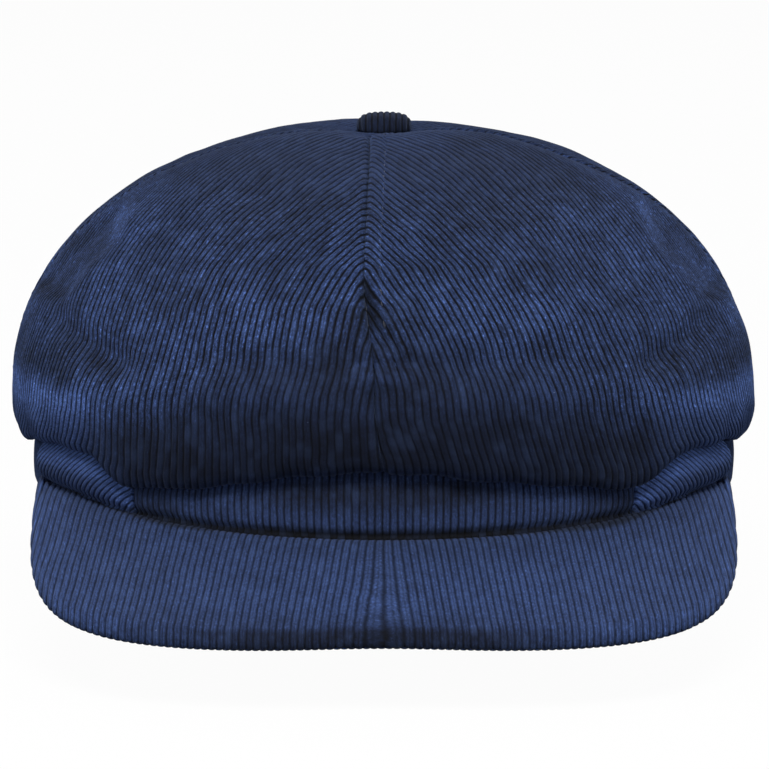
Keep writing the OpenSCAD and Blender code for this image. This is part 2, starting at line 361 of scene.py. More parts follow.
def plain_shell(outer, inner, cloth):
    """Closed shell between two grids of one size."""
    rows, columns = outer.shape[:2]
    total = rows * columns
    ids = np.arange(total).reshape(rows, columns)
    faces = quads(ids).tolist() + (quads(ids)[:, ::-1] + total).tolist()
    rim = [*ids[0], *ids[1:, -1], *ids[-1, ::-1][1:], *ids[::-1, 0][1:-1]]
    for this, after in zip(rim, rim[1:] + rim[:1]):
        faces.append([this, after, after + total, this + total])
    points = np.concatenate([outer.reshape(-1, 3), inner.reshape(-1, 3)])
    return points, faces, unshaded(np.concatenate([cloth.reshape(-1, 2)] * 2))


def tube(grid, cloth):
    """A closed cross-section, one row per point, swept over the columns, with capped ends."""
    rows, columns = grid.shape[:2]
    total = rows * columns
    ids = np.arange(total).reshape(rows, columns)
    ids = np.vstack([ids, ids[:1]])
    faces = quads(ids).tolist()
    for this, after in zip(ids[:-1], ids[1:]):
        faces.append([this[0], total, after[0]])
        faces.append([after[-1], total + 1, this[-1]])

    def with_centres(values):
        ends = values[:, 0].mean(0)[None], values[:, -1].mean(0)[None]
        return np.concatenate([values.reshape(total, -1), *ends])
    return with_centres(grid), faces, unshaded(with_centres(cloth))


# Rings along a stitch: place along its length, width, and lift, both in thread radii.
STITCH_RINGS = [(-0.02, 0.35, -0.28), (0.06, 0.8, -0.12), (0.2, 1.0, 0.0), (0.5, 1.05, 0.05),
                (0.8, 1.0, 0.0), (0.94, 0.8, -0.12), (1.02, 0.35, -0.28)]
STITCH_SIDES = 7


def stitches(segments):
    """Thread: one rounded, slightly sunk stitch for each (start, end, outward direction)."""
    turn = 2 * math.pi * np.arange(STITCH_SIDES) / STITCH_SIDES
    ids = np.arange(len(STITCH_RINGS) * STITCH_SIDES).reshape(-1, STITCH_SIDES)
    one = quads(closed(ids))[:, INWARD].tolist() + [ids[0][::-1].tolist(), ids[-1].tolist()]
    points, faces, cloth = [], [], []
    for i, (start, end, outward) in enumerate(segments):
        ahead = end - start
        length = np.linalg.norm(ahead)
        ahead = ahead / length
        side = np.cross(ahead, outward)
        side /= np.linalg.norm(side)
        over = np.cross(side, ahead)
        round_it = np.outer(np.cos(turn), side) + np.outer(np.sin(turn), over)
        for place, width, lift in STITCH_RINGS:
            centre = start + ahead * (place * length) + outward * lift * THREAD_RADIUS * 1.6
            points.append(centre + round_it * THREAD_RADIUS * width)
            cloth += [(angle * THREAD_RADIUS, place * length, 0) for angle in turn]
        faces += [[k + i * ids.size for k in face] for face in one]
    return np.concatenate(points), faces, np.array(cloth)


# ---------------------------------------------------------------- materials
class Nodes:
    """Short-hand for building the node tree of a material or world."""

    def __init__(self, owner):
        self.owner = owner
        owner.use_nodes = True
        self.tree = owner.node_tree
        self.tree.nodes.clear()

    def node(self, kind, inputs=None, **props):
        node = self.tree.nodes.new(kind)
        for key, value in props.items():
            setattr(node, key, value)
        for key, value in (inputs or {}).items():
            if isinstance(value, bpy.types.NodeSocket):
                self.tree.links.new(value, node.inputs[key])
            else:
                node.inputs[key].default_value = value
        return node

    def math(self, operation, first, second=0.0):
        inputs = {0: first, 1: second, 2: 0.0}
        return self.node("ShaderNodeMath", inputs, operation=operation).outputs[0]

    def add(self, first, second):
        return self.math("ADD", first, second)

    def sub(self, first, second):
        return self.math("SUBTRACT", first, second)

    def mul(self, first, *others):
        for other in others:
            first = self.math("MULTIPLY", first, other)
        return first

    def vary(self, value, swing):
        """A factor about 1 from a value about 0.5."""
        return self.add(1.0, self.mul(self.sub(value, 0.5), swing))

    def ramp(self, value, start, end, low=0.0, high=1.0, kind="SMOOTHSTEP"):
        inputs = {"Value": value, "From Min": start, "From Max": end, "To Min": low,
                  "To Max": high}
        return self.node("ShaderNodeMapRange", inputs, interpolation_type=kind).outputs[0]

    def mix_color(self, factor, first, second, blend="MIX"):
        inputs = {0: factor}
        for key, value in ((6, first), (7, second)):
            inputs[key] = (*value[:3], 1) if isinstance(value, tuple) else value
        return self.node("ShaderNodeMix", inputs, data_type="RGBA", blend_type=blend).outputs[2]

    def scale(self, color, factor):
        """Colour times a number."""
        grey = self.node("ShaderNodeCombineColor", {0: factor, 1: factor, 2: factor}).outputs[0]
        return self.mix_color(1.0, color, grey, "MULTIPLY")

    def noise(self, vector, scale, detail=2.0, rough=0.5):
        inputs = {"Vector": vector, "Scale": scale, "Detail": detail, "Roughness": rough}
        return self.node("ShaderNodeTexNoise", inputs).outputs[0]

    def voronoi(self, vector, scale):
        inputs = {"Vector": vector, "Scale": scale, "Randomness": 1.0}
        return self.node("ShaderNodeTexVoronoi", inputs).outputs

    def separate(self, vector):
        return self.node("ShaderNodeSeparateXYZ", {0: vector}).outputs

    def cloth(self):
        """Place across the wales, place along them, and the painted light and shade."""
        return self.separate(
            self.node("ShaderNodeAttribute", attribute_name="wale").outputs["Vector"])

    def object_mm(self):
        place = self.node("ShaderNodeTexCoord").outputs["Object"]
        inputs = {0: place, "Scale": 1000.0}
        return self.node("ShaderNodeVectorMath", inputs, operation="SCALE").outputs[0]

    def vector(self, x, y):
        return self.node("ShaderNodeCombineXYZ", {0: x, 1: y, 2: 0.0}).outputs[0]

    def output(self, kind, shader):
        self.node(kind, {0: shader})

    def finish(self, color, rough, bump, distance, strength, **principled):
        """The surface; distance (m) and strength are the bump's."""
        inputs = {"Base Color": color, "Roughness": rough}
        inputs.update({key.replace("_", " "): value for key, value in principled.items()})
        relief_inputs = {"Strength": strength, "Distance": distance, "Height": bump}
        inputs["Normal"] = self.node("ShaderNodeBump", relief_inputs).outputs[0]
        shader = self.node("ShaderNodeBsdfPrincipled", inputs).outputs[0]
        self.output("ShaderNodeOutputMaterial", shader)
        return self.owner


def new_material(name):
    return Nodes(bpy.data.materials.new(name))


NAVY = (0.0227, 0.0416, 0.1165)


def corduroy(name, patch, brightness=1.0, dark=0.17, lint=1.0, part=0.22, gain=1.0, zones=False):
    """Cut-pile corduroy: grooves darkened with painted shade, mottled pile on each wale with
    painted glints on its tips, rubbed patches and lint, all times each vertex's painted light
    and shade. patch: strength of the patches; dark: brightness in the grooves, painted shade;
    part: darkening along the middle of a wale; gain: contrast, which varies over the crown to
    follow its painted light if zones is set; brightness: painted light or shade of the piece."""
    base = tuple(c * brightness for c in NAVY)
    net = new_material(name)
    across, along, painted_shading = net.cloth()
    place = net.object_mm()
    flat = net.vector(across, along)
    # the wales: 0 in a groove, 1 on a crest, wandering slightly
    wander = net.noise(net.vector(net.mul(across, 0.3), along), 0.55)
    wander = net.mul(net.sub(wander, 0.5), 0.34)
    phase = net.math("FRACT", net.mul(net.add(across, wander), 1 / WALE))
    crest = net.sub(1.0, net.math("ABSOLUTE", net.mul(net.sub(phase, 0.5), 2.0)))
    groove = net.ramp(crest, 0.0, 0.62)
    # mottling: streaks along single wales, grain, painted glints on the pile tips, and larger
    # patches; painted shade darkens the grooves
    number = net.math("FLOOR", net.mul(across, 1 / WALE))
    streak = net.noise(net.vector(net.mul(number, 3.71), net.mul(along, 0.16)), 1.0, rough=0.55)
    grain = net.noise(net.vector(across, net.mul(along, 0.62)), 1.5, detail=3, rough=0.75)
    fine = net.noise(flat, 5.0, rough=0.6)
    patches = net.noise(place, 0.055, detail=3, rough=0.55)
    small = net.noise(place, 0.16)
    pile_glints = net.noise(net.vector(net.mul(across, 1.7), net.mul(along, 0.75)), 1.0, rough=0.6)
    tone = net.mul(net.vary(streak, 0.9),
                   net.vary(grain, 2.3),
                   net.vary(fine, 1.8),
                   net.add(1.0, net.mul(net.ramp(pile_glints, 0.54, 0.70), 0.6)),
                   net.vary(patches, patch * 4),
                   net.vary(small, patch * 2),
                   net.ramp(groove, 0.0, 1.0, dark, 1.12, "LINEAR"),
                   net.ramp(crest, 0.74, 0.98, 1.0, 1.0 - part))
    # painted light: the contrast is strongest on the lit middle and sides of the crown, and
    # fades in the shaded hollows low down and on top
    power = gain
    if zones:
        x, y, z = net.separate(place)
        level = net.add(z, net.ramp(net.math("ABSOLUTE", x), 20.0, 72.0, -2.0, 20.0))
        power = net.sub(net.ramp(level, 42.0, 62.0, 1.05, gain),
                        net.ramp(z, 84.0, 98.0, 0.0, gain - 0.9))
        power = net.sub(power, net.ramp(level, 27.0, 42.0, 0.40, 0.0))
    # the painted light and shade of each vertex multiplies the colour
    tone = net.mul(net.math("POWER", net.math("MAXIMUM", tone, 0.02), power), painted_shading)
    color = net.scale((*base, 1), tone)
    # some streaks are paler and duller
    worn = tuple(c * tint for c, tint in zip(base, (1.55, 1.4, 1.15)))
    color = net.mix_color(net.mul(net.ramp(streak, 0.45, 0.8), 0.25), color, worn)
    # specks of lint in about half the cells
    cell = net.voronoi(flat, 0.16)
    pick = net.node("ShaderNodeSeparateColor", {0: cell["Color"]}).outputs[0]
    speck = net.mul(net.ramp(cell["Distance"], 0.028, 0.014),
                    net.math("GREATER_THAN", pick, 0.45))
    color = net.mix_color(net.mul(speck, 0.55 * lint), color, (0.22, 0.27, 0.42))
    bump = net.add(net.mul(grain, 0.6), net.add(net.mul(fine, 0.5), net.mul(groove, 0.5)))
    rough = net.add(0.9 - 0.06, net.mul(grain, 0.12))
    sheen = net.mul(net.ramp(groove, 0.0, 1.0, 0.15, 1.0, "LINEAR"), 0.11)
    return net.finish(color, rough, bump, distance=0.00032, strength=0.55, Sheen_Weight=sheen,
                      Sheen_Roughness=0.42, Sheen_Tint=(0.36, 0.50, 0.90, 1),
                      Specular_IOR_Level=0.18)


def twill(name, base, pitch, depth, rough, sheen=0.2, slant=1.0, specular=0.3, contrast=0.5):
    """A fine diagonal weave of pitch mm, with uneven yarn colour and soft wear."""
    net = new_material(name)
    across, along, _ = net.cloth()
    place = net.object_mm()
    diagonal = net.add(net.mul(across, slant), along)
    wobble = net.mul(net.noise(net.vector(across, along), 0.6), 0.35)
    line = net.math("SINE", net.mul(net.add(diagonal, wobble), 2 * math.pi / pitch))
    yarn = net.math("SINE", net.mul(net.sub(across, net.mul(along, 0.35)),
                                    2 * math.pi / (pitch * 0.55)))
    weave = net.add(net.mul(line, 0.6), net.mul(yarn, 0.4))
    wear = net.noise(place, 0.07, detail=3)
    fine = net.noise(net.vector(across, along), 3.1, rough=0.6)
    tone = net.mul(net.add(1.0, net.mul(weave, 0.22 * contrast)),
                   net.vary(wear, 0.5), net.vary(fine, 0.5))
    color = net.scale((*base, 1), tone)
    worn = tuple(min(1, c * 1.3 + 0.01) for c in base)
    color = net.mix_color(net.mul(net.ramp(wear, 0.55, 0.8), 0.3), color, worn)
    bump = net.add(weave, net.mul(fine, 0.8))
    return net.finish(color, net.add(rough - 0.05, net.mul(fine, 0.12)), bump,
                      distance=0.00015, strength=depth, Sheen_Weight=sheen,
                      Sheen_Roughness=0.4, Specular_IOR_Level=specular)


def felted(name, base, scale, rough=0.85, depth=0.5, cells=False):
    """Non-woven felt or open foam: fibres or cells, with slow changes of tone."""
    net = new_material(name)
    place = net.object_mm()
    fibre = net.noise(place, scale, detail=4, rough=0.7)
    slow = net.noise(place, 0.06)
    if cells:
        fibre = net.add(net.mul(fibre, 0.5), net.voronoi(place, 1.1)["Distance"])
    tone = net.mul(net.ramp(fibre, 0.2, 0.9, 0.78, 1.1), net.ramp(slow, 0.3, 0.7, 0.92, 1.05))
    return net.finish(net.scale((*base, 1), tone),
                      net.ramp(fibre, 0.2, 0.8, rough - 0.08, rough + 0.06), fibre,
                      distance=0.0003, strength=depth, Sheen_Weight=0.2,
                      Specular_IOR_Level=0.3)


def steel(name):
    """Brushed steel with faint stains."""
    net = new_material(name)
    place = net.object_mm()
    stretched = net.node("ShaderNodeVectorMath", {0: place, 1: (1.0, 1.0, 14.0)},
                         operation="MULTIPLY").outputs[0]
    brushed = net.noise(stretched, 1.6, detail=4, rough=0.6)
    stain = net.noise(place, 0.5, detail=3)
    color = net.mix_color(net.ramp(stain, 0.45, 0.75), (0.55, 0.56, 0.58), (0.42, 0.41, 0.40))
    return net.finish(net.scale(color, net.ramp(brushed, 0.3, 0.7, 0.88, 1.05)),
                      net.ramp(brushed, 0.3, 0.7, 0.24, 0.42), brushed,
                      distance=0.00005, strength=0.25, Metallic=0.95)


def thread(name, base):
    """Twisted thread."""
    net = new_material(name)
    across, along, _ = net.cloth()
    ply = net.math("SINE", net.mul(net.add(net.mul(across, 2.0), along), 14.0))
    slow = net.noise(net.object_mm(), 0.4)
    tone = net.mul(net.ramp(ply, -1, 1, 0.72, 1.12), net.ramp(slow, 0.3, 0.7, 0.85, 1.1))
    return net.finish(net.scale((*base, 1), tone), net.ramp(slow, 0.3, 0.7, 0.5, 0.65), ply,
                      distance=0.00008, strength=0.5, Sheen_Weight=0.3)


# Keyed by material slot. The corduroy copies differ in brightness as painted light and shade:
# the visor's top a little lighter, the band and the visor's underside a little darker, the
# button much darker.
MATERIALS = {
    "crown_corduroy": corduroy("crown_corduroy", patch=0.17, gain=2.0, zones=True),
    "band_corduroy": corduroy("band_corduroy", patch=0.13, brightness=0.92),
    "visor_corduroy": corduroy("visor_corduroy", patch=0.07, brightness=1.04, dark=0.34,
                               part=0.34, gain=1.2),
    "visor_under_corduroy": corduroy("visor_under_corduroy", patch=0.12, brightness=0.95),
    "button_corduroy": corduroy("button_corduroy", patch=0.10, brightness=0.19, lint=0.3),
    "lining": twill("lining_weave", (0.021, 0.026, 0.045), pitch=0.7, rough=0.48, depth=0.2,
                    sheen=0.1, specular=0.5),
    "sweatband_twill": twill("sweatband_twill", (0.017, 0.022, 0.042), pitch=1.3, rough=0.75,
                             depth=0.5, contrast=1.0),
    "interfacing": felted("interfacing_felt", (0.055, 0.058, 0.066), scale=1.6),
    "visor_foam": felted("visor_foam", (0.62, 0.58, 0.42), scale=1.4, rough=0.9, depth=0.7,
                         cells=True),
    "visor_board": felted("visor_board", (0.03, 0.03, 0.034), scale=0.8, rough=0.5,
                          depth=0.15),
    "label_tape": twill("label_tape", (0.66, 0.66, 0.63), pitch=0.5, rough=0.6, depth=0.3,
                        slant=0.2, contrast=0.4),
    "button_steel": steel("button_steel"),
    "navy_thread": thread("navy_thread", (0.007, 0.011, 0.028)),
    "grey_thread": thread("grey_thread", (0.16, 0.18, 0.24)),
}


# ---------------------------------------------------------------- the crown
# The front seam wanders up to 5.5 mm towards the wearer's right.
SEAM_Z = [17, 19, 35, 46, 59, 64, 70, 79, 90, 100]
SEAM_X = [0, 0, -2.5, -2.5, -3.8, -4.7, -5.4, -5.5, -4.8, -4.2]


def front_seam_x(radius, z, down):
    return (np.interp(z, SEAM_Z, SEAM_X) * rise(radius, 5, 16)
            * np.clip((0.9 - down) / 0.04, 0, 1))


def shifted(angle, down):
    """Azimuths moved to follow the front seam, less and less away from it."""
    radius, z = crown_section(np.zeros_like(angle), down)
    x = front_seam_x(radius, z, down)
    turn, radius = wrap(angle), np.maximum(radius, 8)
    fade = hump(radius * np.radians(turn), 0, 34) * rise(np.abs(turn), 84, -70)
    return angle + np.degrees(x / radius) * fade


def crease_distance(side_x, z):
    """Distance from the crease near each temple."""
    x0, z0, run_x, run_z = 89, 53, -16, -7
    part = ((side_x - x0) * run_x + (z - z0) * run_z) / (run_x ** 2 + run_z ** 2)
    part = np.clip(part, 0, 1)
    return np.hypot(side_x - x0 - part * run_x, z - z0 - part * run_z)


# Local changes of relief (mm) or of painted light and shade (a fraction). Columns: amount;
# shape, place and size across the crown, by x or |x|; shape, place and size in z.
DENTS = [  # by x
    (-0.8, hump, -9.5, 3.2, hump, 54.2, 3.2), (-0.8, hump, -2.2, 2.2, hump, 50, 2.2),
    (-0.5, hump, 3.5, 2.2, hump, 55, 2.2), (1.15, hump, 0, 9.0, hump, 46.6, 2.7),
]
MIRRORED_DENTS = [  # by |x|
    (0.9, hump, 34, 26, hump, 40, 6), (-1.2, hump, 31, 13, hump, 89, 5.5),
]
TEMPLE_DENTS = [  # by |x|
    (-1.3, hump, 75.5, 6.5, hump, 47.5, 6.5), (1.3, hump, 81, 9.0, hump, 36, 9.0),
    (0.8, hump, 66, 9.0, hump, 40, 9.0),
]
# painted light and shade spots: lighter for positive amounts, darker for negative
PAINTED_SHADING = [  # by x
    (-0.48, hump, -1, 50, rise, 44, -14), (-0.30, hump, 0, 14, hump, 52.5, 2.4),
    (0.55, hump, 0, 9, hump, 47.3, 2.8), (0.20, hump, 0, 24, rise, 26, -5),
    (0.24, hump, 28, 22, hump, 79, 7), (0.30, hump, -12, 6, hump, 79, 6),
    (0.15, hump, 8, 18, hump, 80, 8), (-0.52, hump, -13.5, 7, hump, 54, 8),
    (-0.22, hump, 15, 9, hump, 57, 9),
]
MIRRORED_PAINTED_SHADING = [  # by |x|
    (0.85, rise, 78, 14, rise, 42, -8), (0.40, hump, 50, 26, hump, 80, 10),
    (-0.36, rise, 90, -20, hump, 45, 12), (-0.50, hump, 64, 15, rise, 34, -10),
    (-0.46, hump, 0, 42, hump, 43, 8), (-0.42, rise, 78, 12, rise, 50, 9),
    (-0.20, hump, 58, 15, hump, 62, 9), (-0.38, rise, 82, -12, rise, 40, -10),
    (-0.28, hump, 70, 6, hump, 24, 3.5), (-0.50, rise, 80, 8, hump, 39.5, 5),
    (0.20, rise, 60, 8, hump, 33.5, 4.5), (-0.34, rise, 72, 6, hump, 45, 7),
    (0.3, rise, 76, 8, hump, 63, 5), (0.45, hump, 67, 7, hump, 79, 10),
]


def spots(table, across, z):
    return [amount * shape(across, place, size) * shape_z(z, place_z, size_z)
            for amount, shape, place, size, shape_z, place_z, size_z in table]


def seam_relief(angle, down, radius, z):
    """The four seams: a hollow, a groove, and a welt with its line of stitching."""
    total = 0
    live = rise(radius, 7, 12) * (1 - rise(down, 0.9, 0.05))
    for seam in (0, 90, 180, -90):
        turn = wrap(angle - seam)
        gap = radius * np.radians(turn)
        height = -0.9 * hump(gap, 0, 9) - 0.85 * hump(gap, 0, 0.8)
        if seam == 0:
            height = height - 0.9 * hump(gap, 0, 2.6) * rise(z, 46, -5)
            height = height * (1 - 0.75 * rise(z, 26, -7))
            welted = rise(z, 60, 8)
        else:
            welted = 1 - rise(down, 0.78, 0.06)
        welt = 0.5 * rise(gap, 0, 0.9) * (1 - rise(gap, 3.8, 0.7))
        stitching = -0.30 * hump(gap, 4.35, 0.45)
        pucker = 0.08 * np.sin(2 * math.pi * z / 3.0) * hump(gap, 3.6, 1.2)
        height = height + (welt + stitching + pucker) * welted
        total = total + np.where(np.abs(turn) < 60, height * live, 0)
    return total


def front_relief(x, z):
    """The notch where the front topstitching stops, its pleats, and the folds above the roll."""
    side_x = np.abs(x)
    centre = np.interp(z, [55, 59, 72], [-1.4, -1.9, -5.3])
    width = np.interp(z, [55, 60, 72], [4.6, 3.4, 0.9])
    total = -4.0 * hump(x, centre, width) * rise(z, 73.5, -6) * rise(z, 52, 6)
    for sign in (1, -1):
        total = total + 0.9 * hump(x, centre + sign * 1.56 * width, 1.7) * hump(z, 60, 6)
    total = total - 1.6 * hump(z, 51.0 - 0.008 * x * x, 2.8) * hump(x, 0, 12)
    ripple = np.sin(x * 1.15 + 0.4 + 0.15 * (z - 48))
    total = total + 0.6 * ripple * hump(z, 49, 6) * hump(x, 0, 13)
    # a soft trough above the roll, deeper to each side of the seam
    total = total - 2.3 * hump(z, 50 + 0.01 * (side_x - 30), 5.2) * hump(side_x, 32, 22)
    return total + sum(spots(DENTS, x, z)) + sum(spots(MIRRORED_DENTS, side_x, z))


def side_relief(side_x, y, z):
    """The dents and creases towards the sides of the front panels."""
    edge = np.interp(z, [55, 61, 68, 75.4, 82.7, 92], [91, 88.6, 83, 75.4, 73.7, 73.5])
    forward = rise(y, -2, -22)
    dent = rise(side_x, edge - 4.5, 9.0) * rise(z, 56, 6) * (1 - rise(z, 80, 9))
    total = (0.6 * hump(side_x, edge - 7, 4.5) * hump(z, 72, 9) - 2.4 * dent) * forward
    temple = sum(spots(TEMPLE_DENTS, side_x, z)) - 1.7 * hump(crease_distance(side_x, z), 0, 4.2)
    return total + temple * rise(y, -8, -16)


def relief(angle, down, points):
    """How far the cloth stands out from the smooth crown."""
    x, y, z = np.moveaxis(points, -1, 0)
    radius = np.hypot(x, y)
    total = 0.75 * noise(points, 27) + 0.26 * noise(points, 10, 2) + 0.10 * noise(points, 4.5, 5)
    total = total * rise(radius, 4, 14) + seam_relief(angle, down, radius, z)
    total = total + front_relief(x, z) * rise(y, 2, -16) + side_relief(np.abs(x), y, z)
    # a looser trough round the back and sides
    trough = hump(z, 47 + 5 * noise(points, 60, 9), 6) * rise(y, -10, 30)
    total = total - 1.3 * trough * (0.55 + 0.45 * noise(points, 38, 4))
    # gathers round the roll above the band
    gather = np.sin(2 * math.pi * radius * np.radians(angle) / 21 + 3.2 * noise(points, 40, 7))
    total = total + 0.30 * gather * rise(down, 0.68, 0.07) * (1 - rise(down, 0.86, 0.06))
    return total * (1 - rise(down, 0.93, 0.03))


def crown_surface(angle, down, offset=0.0):
    """Points of the finished crown, all its relief included."""
    turn_step, down_step = 0.25, 0.0012

    def base(angle, down):
        angle = shifted(angle, down)
        return at(angle, *crown_section(angle, down))
    points = base(angle, down)
    lower, upper = np.clip(down + down_step, 0, 1), np.clip(down - down_step, 0.002, 1)
    normal = np.cross(base(angle, lower) - base(angle, upper),
                      base(angle + turn_step, down) - base(angle - turn_step, down))
    normal /= np.maximum(np.linalg.norm(normal, axis=-1, keepdims=True), 1e-9)
    return points + normal * (relief(angle, down, points) + offset)[..., None]


def crown_painted_shading(angle, points, normal):
    """Painted light and shade: darker on top, under the roll and inside the creases,
    lighter along the lower edge and on the sides of the roll, with a little random tone.
    """
    x, y, z = np.moveaxis(points, -1, 0)
    side_x, facing, front = np.abs(x), normal[..., 2], rise(y, 2, -16)
    painted_shading = 1 - 0.58 * rise(facing, 0.36, 0.5) * (1 - 0.3 * hump(x, 0, 16))
    painted_shading = painted_shading * (1 - 0.50 * rise(facing, 0.10, -0.55) * rise(z, 52, -16)
                     * (1 - rise(side_x, 55, 20)))
    above_edge = z - lower_edge(angle)
    outer = rise(side_x, 70, 8)
    beside_seam = (hump(x, -15, 8) + hump(x, 11, 8)) * rise(z, 70, -8) * rise(z, 36, 8)
    notch = hump(x, np.interp(z, [55, 72], [-1.6, -5.3]),
                 np.interp(z, [50, 60, 73], [7.5, 5.2, 1.3]))
    edge = rise(above_edge, 3.4, -2.8) * (1 - rise(side_x, 66, 5))
    roll = hump(z, 36 - 3 * outer, mix(8, 6, outer)) * rise(side_x, 54, 8)
    # painted shade beside the seam, in the notch, low down and in the crease; painted light
    # along the lower edge and on the roll
    changes = [
        -0.25 * beside_seam,
        -0.82 * notch * rise(z, 74.5, -4) * rise(z, 54, 7),
        -0.05 * rise(z, 40, -12),
        -0.25 * hump(crease_distance(side_x, z), 0, 3.5),
        (0.85 + 0.5 * hump(x, 0, 26)) * edge,
        0.40 * roll,
    ]
    for change in changes + spots(PAINTED_SHADING, x, z) + spots(MIRRORED_PAINTED_SHADING, side_x, z):
        painted_shading = painted_shading * (1 + change * front)
    return painted_shading * (1 + 0.13 * noise(points, 19, 21) + 0.11 * noise(points, 7, 22)
                    + 0.06 * noise(points, 3.2, 23))


# The lie of the wales on the front panels, in wales counted away from the front seam:
# offset + slope d + bend exp(-(d / 45)^2), d mm from the seam, by station down the crown.
WALE_DOWN = [0.0, 0.03, 0.10, 0.17, 0.24, 0.31, 0.38, 0.46, 0.54, 0.62, 0.70, 0.80]
WALE_OFFSET = [-6.6, -9.2, -14.6, -19.4, -23.5, -27.1,
               -30.3, -33.6, -35.5, -36.4, -36.6, -36.4]
WALE_SLOPE = [0.468, 0.468, 0.475, 0.483, 0.491, 0.500,
              0.505, 0.502, 0.480, 0.456, 0.431, 0.396]
WALE_BEND = [2.2, 2.2, 2.3, 2.4, 2.5, 2.1, 1.0, -0.8, -1.9, -2.9, -4.0, -5.0]


def front_wales(angle, down):
    """Distance across the wales (mm) on a front panel, growing away from the front seam."""
    angle = shifted(angle, down)
    radius, z = crown_section(angle, down)
    gap = np.abs(radius * np.radians(angle) - front_seam_x(radius, z, down))
    offset, slope, bend = (np.interp(np.minimum(down, 0.8), WALE_DOWN, column)
                           for column in (WALE_OFFSET, WALE_SLOPE, WALE_BEND))
    return WALE * (offset + slope * gap + bend * hump(gap, 0, 45))


PANELS = {"front_left": 0.0, "front_right": -90.0, "rear_left": 90.0, "rear_right": 180.0}
PANEL_COLUMNS = 241
CROWN_ROWS, CROWN_LENGTH = rows_by_length(crown_section, 45, 0.012, 1.0, 1.25)


def crown_panel(index, where, start):
    azimuths = np.linspace(start, start + 90, PANEL_COLUMNS)
    angle, down = np.meshgrid(azimuths, CROWN_ROWS)
    grid = crown_surface(angle, down)
    radius = crown_section(angle, down)[0]
    if where.startswith("front"):
        across = front_wales(angle, down) * (1 if start == 0 else -1)
    else:
        mean_radius = crown_section(azimuths[None, ::8],
                                    np.minimum(CROWN_ROWS, 0.7)[:, None])[0].mean(1)
        across = mean_radius[:, None] * np.radians(angle - start - 45) + 0.37 * WALE
    across = increasing(across + 0.45 * noise(grid, 15, 12) + 0.16 * noise(grid, 5.5, 13))
    rows = len(CROWN_ROWS)
    along = np.repeat(np.linspace(0, CROWN_LENGTH, rows)[:, None], PANEL_COLUMNS, 1)
    edge = radius * np.radians(np.minimum(angle - start, start + 90 - angle))
    height = 0.52 * rise(edge, 0, 0.9) * (1 - rise(down, 0.88, 0.06)) * rise(radius, 5.5, 3)
    height = height * (1 - 0.35 * rise(grid[..., 2], 42, -14) * rise(grid[..., 1], 2, -16))
    normal = normals(grid)
    inner = (grid - normal * 1.15)[np.ix_(coarse(rows, 4), coarse(PANEL_COLUMNS, 6))]
    # the crown's painted light and shade goes with the vertices
    verts, faces, wale = ribbed(grid, across, along, height, inner,
                                crown_painted_shading(angle, grid, normal))
    # each panel is cut from its own part of the cloth
    wale[:, :2] += index * 311.0 * np.array([WALE, 1.0])
    make("crown_panel_" + where, verts + at(start + 45, 0.03, 0), faces, wale,
         "crown_corduroy")


def crown_topstitching():
    """A line of stitches beside each seam, on the welt."""
    segments = []
    for seam in (0, 90, 180, 270):
        stations = rows_by_length(crown_section, seam, 0.115, 0.80 if seam else 0.60, 3.0)[0]
        for start, end in zip(stations[:-1], stations[1:]):
            down = mix(start, end, np.array([0, 0.35, 0.72]))
            radius = crown_section(np.full(3, float(seam)), down)[0]
            angle = seam + np.degrees(4.35 / radius)
            line = crown_surface(angle, down, 0.28)
            raised = crown_surface(angle, down, 1.28)
            segments.append((line[0], line[2], (raised - line)[1]))
    make("crown_topstitching", *stitches(segments), "navy_thread")


for i, (where, start) in enumerate(PANELS.items()):
    crown_panel(i, where, start)
crown_topstitching()

# ---------------------------------------------------------------- the lining
LINING_ROWS, LINING_LENGTH = rows_by_length(lining_section, 45, 0.004, 1.0, 3.0)
LINING_COLUMNS = 64


def lining_panel(index, where, start):
    angle, down = np.meshgrid(np.linspace(start, start + 90, LINING_COLUMNS), LINING_ROWS)
    radius, z = lining_section(angle, down)
    base = at(angle, radius, z)
    normal = normals(base)
    edge = radius * np.radians(np.minimum(angle - start, start + 90 - angle))
    fold = 0.55 * noise(base, 17, 3) + 0.25 * noise(base, 7, 6) - 0.45
    fold = fold * rise(down, 1, -0.06) + 0.35 * hump(edge, 0, 1.2) * rise(radius, 4, 6)
    grid = base + normal * (np.minimum(fold, 0.35) * rise(radius, 0, 8))[..., None]
    along = np.linspace(0, LINING_LENGTH, len(LINING_ROWS))[:, None]
    cloth = np.stack([np.radians(angle - start - 45) * radius + index * 201,
                      np.repeat(along, LINING_COLUMNS, 1)], -1)
    verts, faces, wale = plain_shell(grid, grid - normal * 0.5, cloth)
    make("lining_panel_" + where, verts + at(start + 45, 0.06, 0), faces, wale, "lining")


for i, (where, start) in enumerate(PANELS.items()):
    lining_panel(i, where, start)


